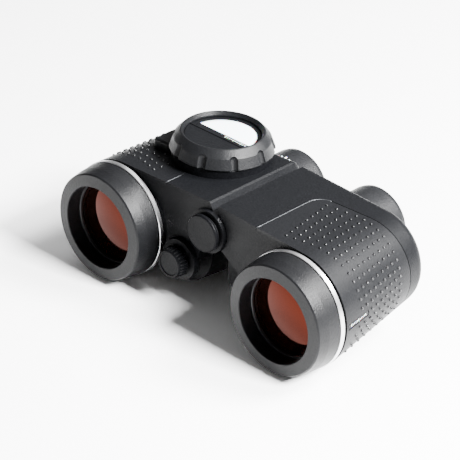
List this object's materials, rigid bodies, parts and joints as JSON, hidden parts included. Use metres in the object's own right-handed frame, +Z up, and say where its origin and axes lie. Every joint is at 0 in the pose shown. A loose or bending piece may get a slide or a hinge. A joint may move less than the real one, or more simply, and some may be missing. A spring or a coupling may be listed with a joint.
{
  "type": "binoculars",
  "caption": "Wide marine porro prism binoculars with a bearing compass on top, dotted grip panels, large objective hoods and short focusing eyepieces on a folding centre hinge.",
  "frame": {"origin": "centre of the bounding box's bottom face, on the surface that the binoculars stand on", "axes": "+X across both barrels to the right seen from the front, +Y from the objectives to the eyepieces, +Z up"},
  "size_m": [0.2062, 0.134, 0.088],
  "materials": {
    "shell": "satin black",
    "hood": "satin black paint",
    "armour": "satin black with raised dots",
    "trim": "fine turned",
    "black_metal": "matt black anodised",
    "coated_glass": "ruby coated",
    "clear_glass": "polished",
    "rubber": "satin",
    "steel": "turned",
    "black_steel": "black oxide",
    "brass": "plain",
    "black_plastic": "fine grained",
    "clear_plastic": "clear",
    "white_plastic": "translucent white",
    "card_plastic": "printed ticks",
    "cell_steel": "nickel plated"
  },
  "bodies": {
    "left_half": {"left_housing": "shell", "left_rear_cover": "shell", "left_armour": "armour", "left_hood": "hood", "left_trim_ring": "trim", "left_lens_cell": "black_metal", "left_lens_ring": "black_metal", "left_objective_seal": "rubber", "left_objective_lens": "coated_glass", "left_rear_prism": "clear_glass", "left_front_prism": "clear_glass", "left_prism_shelf": "black_metal", "left_cover_screws": "black_steel", "left_strap_lug": "shell", "hinge_shaft": "steel", "tripod_bush": "black_metal", "hinge_rear_cap": "black_metal", "hinge_washers": "brass", "hinge_set_screw": "steel", "battery": "cell_steel", "battery_contact": "brass", "compass_base": "black_plastic", "compass_capsule": "clear_plastic", "compass_pivot": "brass", "light_window": "white_plastic", "mask_plate": "black_plastic", "compass_lamp": "clear_plastic", "sight_block": "black_plastic", "sight_prism": "clear_glass"},
    "right_half": {"right_housing": "shell", "right_rear_cover": "shell", "right_armour": "armour", "right_hood": "hood", "right_trim_ring": "trim", "right_lens_cell": "black_metal", "right_lens_ring": "black_metal", "right_objective_seal": "rubber", "right_objective_lens": "coated_glass", "right_rear_prism": "clear_glass", "right_front_prism": "clear_glass", "right_prism_shelf": "black_metal", "right_cover_screws": "black_steel", "right_strap_lug": "shell", "label_plate": "black_plastic"},
    "left_focus_ring": {"left_focus_ring": "black_metal"},
    "right_focus_ring": {"right_focus_ring": "black_metal"},
    "left_eyepiece": {"left_eyepiece_tube": "black_metal", "left_field_lens": "clear_glass", "left_eye_lens": "coated_glass", "left_eyecup": "rubber", "left_reticle": "clear_glass"},
    "right_eyepiece": {"right_eyepiece_tube": "black_metal", "right_field_lens": "clear_glass", "right_eye_lens": "coated_glass", "right_eyecup": "rubber"},
    "bezel": {"compass_bezel": "rubber"},
    "compass_card": {"compass_card": "card_plastic"},
    "tripod_cap": {"tripod_cap": "black_plastic"},
    "battery_cap": {"battery_cap": "black_plastic"}
  },
  "joints": [
    {"name": "hinge_fold", "type": "hinge", "parent": "left_half", "child": "right_half", "pos_m": [0, 0, 0.0545], "axis": [0, -1, 0], "range_deg": [-12, 16]},
    {"name": "left_focus_turn", "type": "hinge", "parent": "left_half", "child": "left_focus_ring", "pos_m": [-0.0306, 0.0345, 0.0306], "axis": [0, 1, 0], "range_deg": [-110, 110]},
    {"name": "left_eyepiece_slide", "type": "slide", "parent": "left_half", "child": "left_eyepiece", "axis": [0, 1, 0], "range_m": [-0.0025, 0.0025]},
    {"name": "right_focus_turn", "type": "hinge", "parent": "right_half", "child": "right_focus_ring", "pos_m": [0.0306, 0.0345, 0.0306], "axis": [0, 1, 0], "range_deg": [-110, 110]},
    {"name": "right_eyepiece_slide", "type": "slide", "parent": "right_half", "child": "right_eyepiece", "axis": [0, 1, 0], "range_m": [-0.0025, 0.0025]},
    {"name": "bezel_turn", "type": "hinge", "parent": "left_half", "child": "bezel", "pos_m": [-0.035, 0, 0.082], "axis": [0, 0, 1], "continuous": true},
    {"name": "card_spin", "type": "hinge", "parent": "left_half", "child": "compass_card", "pos_m": [-0.035, 0, 0.0785], "axis": [0, 0, 1], "continuous": true},
    {"name": "tripod_cap_turn", "type": "hinge", "parent": "left_half", "child": "tripod_cap", "pos_m": [0, -0.051, 0.0545], "axis": [0, -1, 0], "range_deg": [0, 990]},
    {"name": "battery_cap_turn", "type": "hinge", "parent": "left_half", "child": "battery_cap", "pos_m": [-0.0195, -0.054, 0.0284], "axis": [0, -1, 0], "range_deg": [0, 720]}
  ],
  "couplings": [
    {"joint": "left_eyepiece_slide", "follows": "left_focus_turn", "m_per_rad": 0.0013},
    {"joint": "right_eyepiece_slide", "follows": "right_focus_turn", "m_per_rad": 0.0013}
  ]
}
